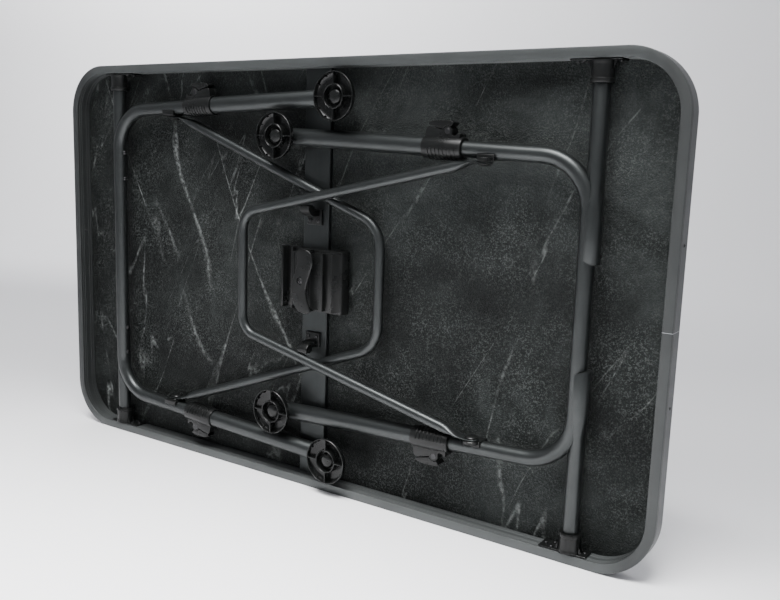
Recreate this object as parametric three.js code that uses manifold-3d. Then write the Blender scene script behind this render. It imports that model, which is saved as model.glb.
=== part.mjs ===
// Folding table, folded flat and standing on one long edge. Millimetres, +Z up.
// X runs along the table's length, the tabletop's use surface faces +Y and the
// underside with its folded legs faces -Y. The floor is z = 0.
import * as THREE from 'three';
import { mergeVertices } from 'three/addons/utils/BufferGeometryUtils.js';
import Module from 'manifold-3d';

const wasm = await Module();
wasm.setup();

// ---- driving dimensions ----
const TABLE_LENGTH = 1200;
const TABLE_WIDTH = 710;
const RIM_DEPTH = 34;
const RIM_FACE = 14.5;
const RIM_WALL = 2.2;
const RIM_LIP = 5;
const RIM_CORNER = 87;
const PANEL_Y = 29.3;
const PANEL_THICK = 4;
const GAP = 0.3;

const RAIL_WIDTH = 52;
const RAIL_Y = 21;
const RAIL_WALL = 1.8;

const ARM_X = 476;
const PIVOT_Y = 11;
const LEG_Y = 6.5;
const INNER_TUBE_R = 12;
const OUTER_TUBE_R = 14.2;
const TUBE_WALL = 1.6;
const LEG_BEND_R = 74;
const CLAMP_REACH = 220;
const FOOT_REACH = 536;
const INNER_REACH = 440;

const BRACE_REACH = 154;
const BRACE_R = 8;
const BRACE_STACK = 16.5;
const BRACE_FLAT = 3.4;

// Each leg: side is the sign of X at its hinge, half is the arm's height above the
// table's long middle line at armX, splay is how fast the arms spread toward the feet.
const LEGS = {
  left: {
    side: -1, pivotX: 471.5, baseX: 468, sleeve: 0, half: 275, armX: 370, splay: 0.0437, stubEnd: 134,
    braceY: 11, braceBase: 136.6, braceHalf: 97, braceBend: 52, pinTop: 3.4,
  },
  right: {
    side: 1, pivotX: 478.5, baseX: 475, sleeve: 14, half: 215.2, armX: 399, splay: 0.0369, stubEnd: 73,
    braceY: -6, braceBase: 136.9, braceHalf: 102, braceBend: 36, pinTop: 8,
  },
};

// The right stubs flare into a half sleeve round the outer front of the base tube.
const SLEEVE_SHIFT_X = 2;
const SLEEVE_SHIFT_Y = -5.5;
const SLEEVE_EDGE = -3;
const SLEEVE_START = 110;
const SLEEVE_FULL = 60;

const RIVET_STEPS = [11, 60];
const RIVET_Y = 8.5;
const RIVET_R = 2.5;

const SOCKET_R = 16.5;
const SOCKET_LENGTH = 31;
const SOCKET_PLATE = 2.2;

const FOOT_SOLE = 26.5;
const FOOT_R = 38;
const FOOT_RING_R = 19.3;
const BALL_R = 10;

const LATCH_HALF = 51;
const LATCH_WIDE = 69;
const LEVER_FRONT = -19;
const LEVER_BACK = -14.3;

const MID_Z = TABLE_WIDTH / 2;
const HALF_LENGTH = TABLE_LENGTH / 2;

// ---- materials, one colour per kind ----
const RIM_METAL = ['rim_aluminium', 0x45494c, 0.85, 0.4];
const TUBE_METAL = ['tube_aluminium', 0x5a5f62, 0.85, 0.38];
const SLATE = ['slate_laminate', 0x2c3032, 0.0, 0.6];
const BLACK = ['black_plastic', 0x141516, 0.0, 0.45];
const STEEL = ['steel_hardware', 0x8a8d90, 1.0, 0.3];

const group = new THREE.Group();

// ---- shape helpers ----
function solid(geometry) {
  const plain = geometry.clone();
  for (const name of ['normal', 'uv']) {
    plain.deleteAttribute(name);
  }
  const merged = mergeVertices(plain, 1e-4);
  const mesh = new wasm.Mesh({
    numProp: 3,
    vertProperties: new Float32Array(merged.attributes.position.array),
    triVerts: new Uint32Array(merged.index.array),
  });
  return new wasm.Manifold(mesh);
}

function add(name, shape, [slot, color, metalness, roughness]) {
  const mesh = shape.getMesh();
  const geometry = new THREE.BufferGeometry();
  geometry.setAttribute('position', new THREE.BufferAttribute(mesh.vertProperties, 3));
  geometry.setIndex(new THREE.BufferAttribute(mesh.triVerts, 1));
  const material = new THREE.MeshStandardMaterial({ color, metalness, roughness });
  material.name = slot;
  const node = new THREE.Mesh(geometry, material);
  node.name = name;
  group.add(node);
}

function placed(shape, matrix) {
  return shape.transform(matrix.elements);
}

function moved(shape, x, y, z) {
  return shape.translate([x, y, z]);
}

// A rod of the given radius about a named axis, from one place on it to another.
function rod(axis, radius, from, to, sides) {
  const geometry = new THREE.CylinderGeometry(radius, radius, to - from, sides);
  geometry.translate(0, (from + to) / 2, 0);
  if (axis === 'x') {
    geometry.rotateZ(-Math.PI / 2);
  }
  if (axis === 'z') {
    geometry.rotateX(Math.PI / 2);
  }
  return solid(geometry);
}

function block(x0, x1, y0, y1, z0, z1) {
  const geometry = new THREE.BoxGeometry(x1 - x0, y1 - y0, z1 - z0);
  geometry.translate((x0 + x1) / 2, (y0 + y1) / 2, (z0 + z1) / 2);
  return solid(geometry);
}

// A solid turned about the Z axis from [radius, height] points.
function turned(points, sides) {
  const outline = points.map(([r, h]) => new THREE.Vector2(r, h));
  outline.push(outline[0].clone());
  const geometry = new THREE.LatheGeometry(outline, sides);
  geometry.rotateX(Math.PI / 2);
  const index = geometry.index.array;
  const whole = [];
  const position = geometry.attributes.position;
  for (let i = 0; i < index.length; i += 3) {
    const corner = [0, 1, 2].map((k) => new THREE.Vector3().fromBufferAttribute(position, index[i + k]));
    const area = corner[1].clone().sub(corner[0]).cross(corner[2].clone().sub(corner[0])).length();
    if (area > 1e-6) {
      whole.push(index[i], index[i + 1], index[i + 2]);
    }
  }
  geometry.setIndex(whole);
  const shape = solid(geometry);
  return shape.volume() < 0 ? solid(flipped(geometry)) : shape;
}

function flipped(geometry) {
  const turnedOver = geometry.clone();
  const index = Array.from(turnedOver.index.array);
  for (let i = 0; i < index.length; i += 3) {
    [index[i + 1], index[i + 2]] = [index[i + 2], index[i + 1]];
  }
  turnedOver.setIndex(index);
  return turnedOver;
}

// An outline of [u, v] points pushed along the third axis: 'y' takes u, v as x, z.
function prism(axis, points, from, to) {
  const shape = new THREE.Shape(points.map(([u, v]) => new THREE.Vector2(u, v)));
  const geometry = new THREE.ExtrudeGeometry(shape, { depth: to - from, bevelEnabled: false });
  geometry.translate(0, 0, from);
  if (axis === 'y') {
    const swap = new THREE.Matrix4().set(1, 0, 0, 0, 0, 0, 1, 0, 0, 1, 0, 0, 0, 0, 0, 1);
    return solid(flipped(mergeVertices(plainOf(geometry.applyMatrix4(swap)), 1e-4)));
  }
  return solid(geometry);
}

function plainOf(geometry) {
  geometry.deleteAttribute('normal');
  geometry.deleteAttribute('uv');
  return geometry;
}

function arc(cx, cy, radius, fromDeg, toDeg, steps) {
  const points = [];
  for (let i = 0; i <= steps; i += 1) {
    const angle = THREE.MathUtils.degToRad(fromDeg + ((toDeg - fromDeg) * i) / steps);
    points.push([cx + radius * Math.cos(angle), cy + radius * Math.sin(angle)]);
  }
  return points;
}

// A closed skin over rings of points, each ring the same length, capped at both ends
// or joined last to first.
function skin(rings, joined) {
  const count = rings[0].length;
  const positions = rings.flat().flatMap((p) => [p.x, p.y, p.z]);
  const index = [];
  const bands = joined ? rings.length : rings.length - 1;
  for (let i = 0; i < bands; i += 1) {
    const next = (i + 1) % rings.length;
    for (let k = 0; k < count; k += 1) {
      const a = i * count + k;
      const b = i * count + ((k + 1) % count);
      const c = next * count + k;
      const d = next * count + ((k + 1) % count);
      index.push(a, b, d, a, d, c);
    }
  }
  if (!joined) {
    const last = (rings.length - 1) * count;
    for (let k = 1; k < count - 1; k += 1) {
      index.push(0, k + 1, k, last, last + k, last + k + 1);
    }
  }
  const geometry = new THREE.BufferGeometry();
  geometry.setAttribute('position', new THREE.Float32BufferAttribute(positions, 3));
  geometry.setIndex(index);
  const shape = solid(geometry);
  return shape.volume() < 0 ? solid(flipped(geometry)) : shape;
}

// Stations along a path in a plane of constant y. Each is {x, z, dx, dz} with a unit
// direction, and radii {across, deep} for a tube squashed in one direction.
function tubeAlong(stations, y, across, deep, sides) {
  const rings = stations.map((s) => {
    const ring = [];
    for (let k = 0; k < sides; k += 1) {
      const angle = ((k + 0.5) / sides) * 2 * Math.PI;
      const a = (s.across ?? across) * Math.cos(angle);
      const d = (s.deep ?? deep) * Math.sin(angle);
      ring.push(new THREE.Vector3(s.x - s.dz * a, y + d, s.z + s.dx * a));
    }
    return ring;
  });
  return skin(rings, false);
}

// The path of a polyline in x, z with its inner corners rounded to one radius.
function roundedPath(corners, radius, steps) {
  const points = corners.map(([x, z]) => new THREE.Vector2(x, z));
  const stations = [];
  const push = (p, d) => stations.push({ x: p.x, z: p.y, dx: d.x, dz: d.y });
  const heading = (i) => points[i + 1].clone().sub(points[i]).normalize();
  push(points[0], heading(0));
  for (let i = 1; i < points.length - 1; i += 1) {
    const before = heading(i - 1);
    const after = heading(i);
    const turn = Math.atan2(before.cross(after), before.dot(after));
    const reach = radius * Math.tan(Math.abs(turn) / 2);
    const start = points[i].clone().addScaledVector(before, -reach);
    const side = new THREE.Vector2(-before.y, before.x).multiplyScalar(Math.sign(turn) * radius);
    const centre = start.clone().add(side);
    for (let k = 0; k <= steps; k += 1) {
      const angle = (turn * k) / steps;
      const spoke = side.clone().negate().rotateAround(new THREE.Vector2(), angle);
      const direction = before.clone().rotateAround(new THREE.Vector2(), angle);
      push(centre.clone().add(spoke), direction);
    }
  }
  push(points[points.length - 1], heading(points.length - 2));
  return stations;
}

// ---- tabletop ----
// A station every few degrees round a rectangle with round corners, inset from the
// table's outline by a given amount.
function outlinePoint(corner, angle, inset) {
  const cx = corner[0] * (HALF_LENGTH - RIM_CORNER);
  const cz = MID_Z + corner[1] * (MID_Z - RIM_CORNER);
  const radius = RIM_CORNER - inset;
  return [cx + radius * Math.cos(angle), cz + radius * Math.sin(angle)];
}

function outlineStations(steps) {
  const stations = [];
  [[1, 1], [-1, 1], [-1, -1], [1, -1]].forEach((corner, quarter) => {
    for (let k = 0; k <= steps; k += 1) {
      stations.push([corner, ((quarter + k / steps) * Math.PI) / 2]);
    }
  });
  return stations;
}

function frameRim() {
  const ledge = PANEL_Y - GAP;
  const inner = RIM_FACE;
  const web = RIM_FACE - RIM_WALL;
  const profile = [
    [1, 0], [0, 1], [0, RIM_DEPTH - 5], [1.4, RIM_DEPTH - 1.6], [RIM_LIP - 1, RIM_DEPTH],
    [RIM_LIP, RIM_DEPTH], [RIM_LIP, ledge], [RIM_LIP + 3, ledge], [RIM_LIP + 3, ledge - RIM_WALL],
    [RIM_WALL, ledge - RIM_WALL], [RIM_WALL, RIM_WALL], [web, RIM_WALL], [web, ledge],
    [inner, ledge], [inner, 0.8], [inner - 0.8, 0],
  ];
  const rings = outlineStations(6).map(([corner, angle]) => profile.map(([inset, y]) => {
    const [x, z] = outlinePoint(corner, angle, inset);
    return new THREE.Vector3(x, y, z);
  }));
  return skin(rings, true);
}

function panel() {
  const outline = outlineStations(6).map(([corner, angle]) => outlinePoint(corner, angle, RIM_LIP + GAP));
  return prism('y', outline, PANEL_Y, PANEL_Y + PANEL_THICK);
}

function centreRail() {
  const half = RAIL_WIDTH / 2;
  const back = PANEL_Y - GAP;
  const inside = half - RAIL_WALL;
  const section = [
    [-half, back], [-half, RAIL_Y + 1.2], [-half + 1.2, RAIL_Y], [half - 1.2, RAIL_Y],
    [half, RAIL_Y + 1.2], [half, back], [inside, back], [inside, RAIL_Y + RAIL_WALL],
    [-inside, RAIL_Y + RAIL_WALL], [-inside, back],
  ];
  const end = RIM_FACE + GAP;
  return prism('z', section, end, TABLE_WIDTH - end);
}

// ---- hinge sockets on the rim ----
function pivotSocket(leg, upper) {
  const { side } = leg;
  const plateBack = 3;
  const plate = block(-44, 28, 1.6 - PIVOT_Y, PANEL_Y - 1 - PIVOT_Y, 0, SOCKET_PLATE);
  const boss = rod('z', SOCKET_R, 0, SOCKET_LENGTH, 20);
  const bore = rod('z', INNER_TUBE_R + 0.4, plateBack, SOCKET_LENGTH + 1, 20);
  const shape = plate.add(boss).subtract(bore);
  const floor = RIM_FACE + GAP;
  const flip = new THREE.Matrix4().makeScale(side, 1, upper ? -1 : 1);
  return moved(placed(shape, flip), side * leg.pivotX, PIVOT_Y, upper ? TABLE_WIDTH - floor : floor);
}

// ---- centre latch ----
const SEAT_LEFT = { x: -44, y: 11, r: 8.6, lip: 1 };
const SEAT_RIGHT = { x: 49, y: -6, r: 8.6, lip: -11 };

function latchHousing() {
  const base = RAIL_Y - GAP;
  const blockLeft = SEAT_LEFT.x + SEAT_LEFT.r;
  const blockRight = SEAT_RIGHT.x - SEAT_RIGHT.r;
  const step = 11;
  const raised = -7.5;
  const section = [
    [-LATCH_WIDE, base], [-LATCH_WIDE, base - 4], [-62, 7], [-56, SEAT_LEFT.lip + 0.6],
    [-54.4, SEAT_LEFT.lip], [SEAT_LEFT.x - SEAT_LEFT.r, SEAT_LEFT.lip + 1.6],
    ...arc(SEAT_LEFT.x, SEAT_LEFT.y, SEAT_LEFT.r, 180, 0, 8),
    [blockLeft, 2.5], [blockLeft + 2.5, 0], [step, 0], [step, raised + 2], [step + 2, raised],
    [blockRight - 1.5, SEAT_RIGHT.lip], [blockRight, SEAT_RIGHT.lip + 1],
    ...arc(SEAT_RIGHT.x, SEAT_RIGHT.y, SEAT_RIGHT.r, 180, 0, 8),
    [SEAT_RIGHT.x + SEAT_RIGHT.r, SEAT_RIGHT.lip + 1], [SEAT_RIGHT.x + SEAT_RIGHT.r + 1.4, SEAT_RIGHT.lip],
    [SEAT_RIGHT.x + SEAT_RIGHT.r + 3.5, SEAT_RIGHT.lip + 4], [LATCH_WIDE + 1, 4], [LATCH_WIDE + 2, base],
  ];
  const body = moved(prism('z', section, -LATCH_HALF, LATCH_HALF), 0, 0, MID_Z);
  const railSlot = block(-12, 12, RAIL_Y - 12, RAIL_Y + 1, MID_Z - 40, MID_Z + 40);
  const screwBore = moved(rod('y', 3.4, -30, 30, 12), 0, 0, MID_Z);
  return body.subtract(railSlot).subtract(screwBore);
}

function latchLever() {
  const half = 53;
  const width = 15.5;
  const round = 9;
  const steps = 16;
  const middle = new THREE.SplineCurve([[10.5, -half], [1, -34], [-3, -15], [0, 0], [4, 12], [10, 32], [5, half]]
    .map(([x, z]) => new THREE.Vector2(x, z)));
  const right = [];
  const left = [];
  for (let i = 0; i <= steps; i += 1) {
    const { x, y } = middle.getPoint(i / steps);
    const past = Math.max(0, Math.abs(y) - (half - round)) / round;
    const reach = width * Math.sqrt(1 - 0.8 * past * past);
    right.push([x + reach, y]);
    left.push([x - reach, y]);
  }
  const plate = prism('y', [...right, ...left.reverse()], LEVER_FRONT, LEVER_BACK);
  const hub = rod('y', 10.4, LEVER_BACK - 0.5, -GAP, 20);
  const bore = rod('y', 3.4, -30, 30, 12);
  const counter = rod('y', 6.2, LEVER_FRONT - 1, LEVER_FRONT + 3.2, 16);
  return moved(plate.add(hub).subtract(bore).subtract(counter), 0, 0, MID_Z);
}

function latchScrew() {
  const head = rod('y', 5.6, LEVER_FRONT + 0.6, LEVER_FRONT + 2.9, 16);
  const shank = rod('y', 3, LEVER_FRONT + 2, RAIL_Y - GAP, 12);
  return moved(head.add(shank), 0, 0, MID_Z);
}

// A small clip on the rail that catches one arm of the right brace.
function storageClip(upper) {
  const base = RAIL_Y - GAP;
  const foot = block(-15, 15, base - 4, base, 90, 114);
  const post = block(-10, 10, 2, base, 104, 114);
  const finger = block(-10, 10, -4, 6, 108, 120.5);
  const scoop = rod('x', 9.2, -11, 11, 16);
  const notch = moved(scoop, 0, -6, 130.5);
  const shape = foot.add(post).add(finger).subtract(notch);
  const flip = new THREE.Matrix4().makeScale(1, 1, upper ? 1 : -1);
  return moved(placed(shape, flip), 0, 0, MID_Z);
}

// ---- legs ----
// Arm line of one end of a leg: where it passes the hinge's x and its unit direction
// toward the foot, all as [x, z].
function armLine(leg, end) {
  const startX = leg.side * ARM_X;
  const startHalf = leg.half - leg.splay * (ARM_X - leg.armX);
  const length = Math.hypot(1, leg.splay);
  const direction = [-leg.side / length, (end * leg.splay) / length];
  return { start: [startX, MID_Z + end * startHalf], direction };
}

function alongArm(leg, end, reach) {
  const { start } = armLine(leg, end);
  return [start[0] - leg.side * reach, start[1] + end * leg.splay * reach];
}

// Frame at a point on an arm: local x runs toward the foot, local z away from the
// table's long middle line.
function armFrame(leg, end, reach) {
  const { direction } = armLine(leg, end);
  const [x, z] = alongArm(leg, end, reach);
  const along = new THREE.Vector3(direction[0], 0, direction[1]);
  const out = new THREE.Vector3(-direction[1], 0, direction[0]).multiplyScalar(-leg.side * end);
  const across = out.clone().cross(along);
  return new THREE.Matrix4().makeBasis(along, across, out).setPosition(x, LEG_Y, z);
}

function legPath(leg) {
  const base = leg.side * leg.baseX;
  const corner = leg.half - leg.splay * (leg.baseX - leg.armX);
  return roundedPath([
    alongArm(leg, 1, INNER_REACH),
    [base, MID_Z + corner],
    [base, MID_Z - corner],
    alongArm(leg, -1, INNER_REACH),
  ], LEG_BEND_R, 5);
}

function stretched(stations, extra) {
  const longer = stations.map((s) => ({ ...s }));
  const first = longer[0];
  const last = longer[longer.length - 1];
  first.x -= first.dx * extra;
  first.z -= first.dz * extra;
  last.x += last.dx * extra;
  last.z += last.dz * extra;
  return longer;
}

function rivetHeights(leg, end) {
  return RIVET_STEPS.map((step) => MID_Z + end * (leg.stubEnd + step));
}

function legFrame(leg) {
  const path = legPath(leg);
  const outer = tubeAlong(path, LEG_Y, INNER_TUBE_R, INNER_TUBE_R, 12);
  const bore = INNER_TUBE_R - TUBE_WALL;
  let shape = outer.subtract(tubeAlong(stretched(path, 2), LEG_Y, bore, bore, 8));
  for (const end of [1, -1]) {
    for (const z of rivetHeights(leg, end)) {
      const hole = rod('x', RIVET_R + 0.4, leg.side * leg.baseX - 20, leg.side * leg.baseX + 20, 8);
      shape = shape.subtract(moved(hole, 0, RIVET_Y, z));
    }
  }
  return shape;
}

// A length of tube that turns in the rim's socket, coped over the leg's base tube.
function hingeStub(leg, end) {
  const near = RIM_FACE + GAP + 3.4;
  const far = MID_Z - leg.stubEnd;
  let shape = rod('z', INNER_TUBE_R, near, far, 16);
  if (leg.sleeve > 0) {
    const start = far - SLEEVE_START;
    const flare = [[0, start], [6, start], [leg.sleeve, far - SLEEVE_FULL], [leg.sleeve, far], [0, far]];
    const wrap = moved(turned(flare, 20), SLEEVE_SHIFT_X, SLEEVE_SHIFT_Y, 0);
    const half = block(SLEEVE_EDGE, 40, -40, 40, 0, TABLE_WIDTH);
    shape = shape.add(wrap.intersect(half));
  }
  const bevel = block(-60, 60, -60, 60, 0, 60).rotate([0, -24, 0]);
  shape = shape.subtract(moved(bevel, 0, 0, far - 4));
  const flip = new THREE.Matrix4().makeScale(leg.side, 1, -end);
  shape = moved(placed(shape, flip), leg.side * leg.pivotX, PIVOT_Y, end > 0 ? TABLE_WIDTH : 0);
  const clear = INNER_TUBE_R + GAP;
  shape = shape.subtract(tubeAlong(legPath(leg), LEG_Y, clear, clear, 12));
  for (const z of rivetHeights(leg, end)) {
    const hole = rod('x', RIVET_R + 0.4, leg.side * leg.pivotX - 20, leg.side * leg.pivotX + 20, 8);
    shape = shape.subtract(moved(hole, 0, RIVET_Y, z));
  }
  return shape;
}

function hingeRivet(leg, z) {
  const reach = leg.sleeve > 0 ? leg.sleeve + SLEEVE_SHIFT_X : INNER_TUBE_R;
  const inner = leg.baseX - INNER_TUBE_R - GAP;
  const outer = leg.pivotX + reach + GAP;
  const shank = rod('x', RIVET_R, inner - 1, outer + 1, 8);
  const heads = rod('x', 4.2, inner - 1.6, inner, 8).add(rod('x', 4.2, outer, outer + 1.3, 8));
  const flip = new THREE.Matrix4().makeScale(leg.side, 1, 1);
  return moved(placed(shank.add(heads), flip), 0, RIVET_Y, z);
}

// ---- braces ----
function bracePivot(leg, end) {
  const [x, z] = alongArm(leg, end, BRACE_REACH);
  return [x, z - end * BRACE_STACK];
}

// A bent tube with both ends pressed flat; the flats lie square to the hinge line.
function brace(leg) {
  const [pinX, pinTop] = bracePivot(leg, 1);
  const pinHalf = pinTop - MID_Z;
  const toBase = -leg.side;
  const baseX = toBase * leg.braceBase;
  const flat = 17;
  const swell = 52;
  const slope = (pinHalf - leg.braceHalf) / (Math.abs(baseX - pinX) - flat);
  const arm = [[pinX + toBase * flat, MID_Z + pinHalf], [baseX, MID_Z + leg.braceHalf],
    [baseX, MID_Z - leg.braceHalf], [pinX + toBase * flat, MID_Z - pinHalf]];
  const middle = roundedPath(arm, leg.braceBend, 4);
  const pressed = { across: BRACE_FLAT / 2, deep: 11 };
  const ends = (end) => {
    const z = MID_Z + end * pinHalf;
    const tip = (dx, deep) => ({ x: pinX + toBase * dx, z, dx: toBase * end, dz: 0, ...pressed, deep });
    return [tip(-11, 3.5), tip(-8.5, 8), tip(-3, 10.6), tip(4, 11), tip(12, 11)];
  };
  const grown = (end, reach) => {
    const s = middle[end > 0 ? 0 : middle.length - 1];
    const dx = toBase * reach;
    const z = MID_Z + end * (pinHalf - slope * reach);
    return { ...s, x: pinX + toBase * flat + dx, z };
  };
  const neck = { across: 4.6, deep: 10 };
  const path = [
    ...ends(1), { ...grown(1, 8), ...neck }, grown(1, swell - flat),
    ...middle.slice(1, -1),
    grown(-1, swell - flat), { ...grown(-1, 8), ...neck }, ...ends(-1).reverse(),
  ];
  const tube = tubeAlong(path, leg.braceY, BRACE_R, BRACE_R, 10);
  const hole = moved(rod('z', 3.3, -400, 400, 12), pinX, leg.braceY, MID_Z);
  return tube.subtract(hole);
}

// A moulded saddle between the leg tube and the brace's flat end.
function braceBracket(leg, end) {
  const [x, z] = bracePivot(leg, end);
  const armZ = BRACE_STACK;
  const top = BRACE_FLAT / 2 + GAP;
  const pad = moved(rod('z', 12.5, top, armZ - 9, 16), 0, leg.braceY, 0);
  const cheek = block(-14, 14, LEG_Y - 13.5, LEG_Y + 13.5, top + 1, armZ - 4.5);
  const flip = new THREE.Matrix4().makeScale(1, 1, end);
  const clear = INNER_TUBE_R + GAP;
  const shape = moved(placed(pad.add(cheek), flip), x, 0, z);
  const hole = moved(rod('z', 3.3, -60, 60, 12), x, leg.braceY, z);
  return shape.subtract(tubeAlong(legPath(leg), LEG_Y, clear, clear, 12)).subtract(hole);
}

function bracePin(leg, end) {
  const [x, z] = bracePivot(leg, end);
  const under = -(BRACE_FLAT / 2 + GAP);
  const cap = turned([[0, under - 3.2], [7.5, under - 3.2], [10, under - 1.6], [10, under], [0, under]], 16);
  const shank = rod('z', 2.9, under - 1, leg.pinTop, 12);
  const flip = new THREE.Matrix4().makeScale(1, 1, end);
  return moved(placed(cap.add(shank), flip), x, leg.braceY, z);
}

// ---- telescoping ends, drawn in the arm's frame with the lever pin at x = 0 ----
const PIN_Z = 24;
const CLAMP_NEAR = -26;
const CLAMP_FAR = 40;
const SLEEVE_R = 17;
const LUG = 9.6;
const HUB = 4.8;

function clampCollar() {
  const sleeve = rod('x', SLEEVE_R, CLAMP_NEAR, CLAMP_FAR, 16);
  const low = SLEEVE_R + 1;
  const ramp = [[CLAMP_NEAR + 5, 4], [CLAMP_NEAR + 5, low + 2], [CLAMP_NEAR + 7, low + 4], [-17, low + 4],
    [-15.9, low], [-6.5, low], [-6.5, low + 3.6], [CLAMP_FAR - 5, low + 3.2], [CLAMP_FAR - 2, 4]];
  let shape = sleeve.add(prism('y', ramp, -LUG, LUG));
  shape = shape.add(moved(rod('y', 7.6, -LUG - 0.3, LUG + 0.3, 12), 0, 0, PIN_Z));
  for (let i = 0; i < 4; i += 1) {
    const x = CLAMP_NEAR + 15 + i * 11;
    const ring = rod('x', SLEEVE_R + 1.2, x, x + 4, 16);
    shape = shape.add(ring.subtract(block(x - 1, x + 4, -30, 30, -3, 30)));
  }
  shape = shape.subtract(block(-9.2, 9.2, -HUB - 0.4, HUB + 0.4, SLEEVE_R - 1, 60));
  shape = shape.subtract(rod('x', OUTER_TUBE_R + GAP, CLAMP_NEAR + 9.7, CLAMP_FAR + 1, 20));
  shape = shape.subtract(rod('x', INNER_TUBE_R + GAP, CLAMP_NEAR - 1, CLAMP_FAR + 1, 20));
  shape = shape.subtract(moved(rod('y', 2.9, -30, 30, 8), 0, 0, PIN_Z));
  for (const face of [-1, 1]) {
    const dimple = moved(rod('y', 4.6, LUG - 1.2, LUG + 2, 10), 0, 0, PIN_Z);
    const mirror = new THREE.Matrix4().makeScale(1, face, 1);
    shape = shape.subtract(placed(dimple, mirror));
  }
  return shape;
}

function clampLever() {
  const back = 15.2;
  const clear = 8.2;
  const shell = [[31.5, 7.8], [32.5, 10.2], [29.5, 13], [16, 15.2], ...arc(0, 0, back, 85, 125, 4),
    ...arc(0, 0, clear, 125, 20, 7)];
  const web = [[14, 5.2], [14, 14], ...arc(0, 0, back - 1, 80, 125, 4), [0, 0]];
  let shape = prism('y', shell, -LUG + 0.2, LUG - 0.2);
  shape = shape.add(prism('y', web, -HUB, HUB));
  shape = shape.add(rod('y', 6.9, -HUB, HUB, 16));
  return moved(shape.subtract(rod('y', 2.9, -20, 20, 8)), 0, 0, PIN_Z);
}

function clampPin() {
  const rest = LUG - 0.7;
  return moved(rod('y', 2.5, -rest, rest, 8), 0, 0, PIN_Z);
}

const TUBE_START = CLAMP_NEAR + 10;
const BALL_X = FOOT_REACH - CLAMP_REACH;
const TUBE_END = BALL_X - 22.5;

function outerTube() {
  const outer = rod('x', OUTER_TUBE_R, TUBE_START, TUBE_END, 18);
  return outer.subtract(rod('x', OUTER_TUBE_R - TUBE_WALL, TUBE_START - 1, TUBE_END + 1, 18));
}

// A plug in the tube's end that carries the ball.
function ballPlug() {
  const fit = OUTER_TUBE_R - TUBE_WALL - GAP;
  const stem = 4.2;
  const profile = [
    [0, -24], [fit, -24], [fit, GAP], [OUTER_TUBE_R - 0.2, GAP], [OUTER_TUBE_R - 0.2, 2], [9, 3.2],
    [stem, 3.2], ...arc(0, 0, BALL_R, -65, 90, 6).map(([r, h]) => [r, h + 22.5]),
  ];
  profile[profile.length - 1][0] = 0;
  const shape = turned(profile, 12).rotate([0, 90, 0]);
  return moved(shape, TUBE_END, 0, 0);
}

// ---- feet, drawn about the ball's centre with the sole facing -Y ----
function foot(toTube) {
  const back = -15;
  const dome = arc(0, -4.4, 21, -90, -52, 3).map(([r, h]) => [Math.max(0, r), h]);
  const profile = [
    ...dome, [FOOT_RING_R - 1.4, -20.6], [FOOT_RING_R - 1.4, -FOOT_SOLE], [FOOT_RING_R, -FOOT_SOLE],
    [FOOT_RING_R, -16.8], [33.5, -17.6], [FOOT_R - 1.6, -20], [FOOT_R - 1.6, -FOOT_SOLE],
    [FOOT_R, -FOOT_SOLE], [FOOT_R, -19], [34.5, back - 1], [17, back], [15, -11], [15, 3], [11.5, 9], [0, 9],
  ];
  let shape = turned(profile, 20);
  const rib = block(FOOT_RING_R - 0.6, FOOT_R - 1, -0.8, 0.8, -FOOT_SOLE + 0.2, -16);
  for (let i = 0; i < 4; i += 1) {
    shape = shape.add(rib.rotate([0, 0, i * 90]));
  }
  shape = shape.rotate([-90, 0, 0]);
  shape = shape.subtract(solid(new THREE.SphereGeometry(BALL_R + 0.9, 12, 8)));
  const slot = toTube > 0 ? block(-5.6, 20, -5.6, 12, -5.6, 5.6) : block(-20, 5.6, -5.6, 12, -5.6, 5.6);
  return shape.subtract(slot);
}

// ---- the whole table ----
add('frame_rim', frameRim(), RIM_METAL);
add('tabletop_panel', panel(), SLATE);
add('centre_rail', centreRail(), RIM_METAL);
add('latch_housing', latchHousing(), BLACK);
add('latch_lever', latchLever(), BLACK);
add('latch_screw', latchScrew(), STEEL);
add('storage_clip_upper', storageClip(true), BLACK);
add('storage_clip_lower', storageClip(false), BLACK);

for (const [name, leg] of Object.entries(LEGS)) {
  add(`${name}_leg_frame`, legFrame(leg), TUBE_METAL);
  add(`${name}_brace`, brace(leg), TUBE_METAL);
  for (const [level, end] of [['upper', 1], ['lower', -1]]) {
    const at = `${name}_${level}`;
    add(`${at}_pivot_socket`, pivotSocket(leg, end > 0), BLACK);
    add(`${at}_hinge_stub`, hingeStub(leg, end), TUBE_METAL);
    rivetHeights(leg, end).forEach((z, i) => {
      add(`${at}_rivet_${i + 1}`, hingeRivet(leg, z), STEEL);
    });
    add(`${at}_brace_bracket`, braceBracket(leg, end), BLACK);
    add(`${at}_brace_pin`, bracePin(leg, end), BLACK);
    const frame = armFrame(leg, end, CLAMP_REACH);
    add(`${at}_outer_tube`, placed(outerTube(), frame), TUBE_METAL);
    add(`${at}_clamp_collar`, placed(clampCollar(), frame), BLACK);
    add(`${at}_clamp_lever`, placed(clampLever(), frame), BLACK);
    add(`${at}_clamp_pin`, placed(clampPin(), frame), STEEL);
    add(`${at}_ball_plug`, placed(ballPlug(), frame), BLACK);
    const [x, z] = alongArm(leg, end, FOOT_REACH);
    add(`${at}_foot`, moved(foot(leg.side), x, LEG_Y, z), BLACK);
  }
}

// The origin is the middle of the table's footprint, feet and latch included.
const FRONT = LEG_Y - FOOT_SOLE;
group.position.y = -(RIM_DEPTH + FRONT) / 2;

export default group;
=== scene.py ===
"""Looks of the folding table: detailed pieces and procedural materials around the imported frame."""

import math

import bmesh
import bpy
from mathutils import Matrix, Vector

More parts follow.
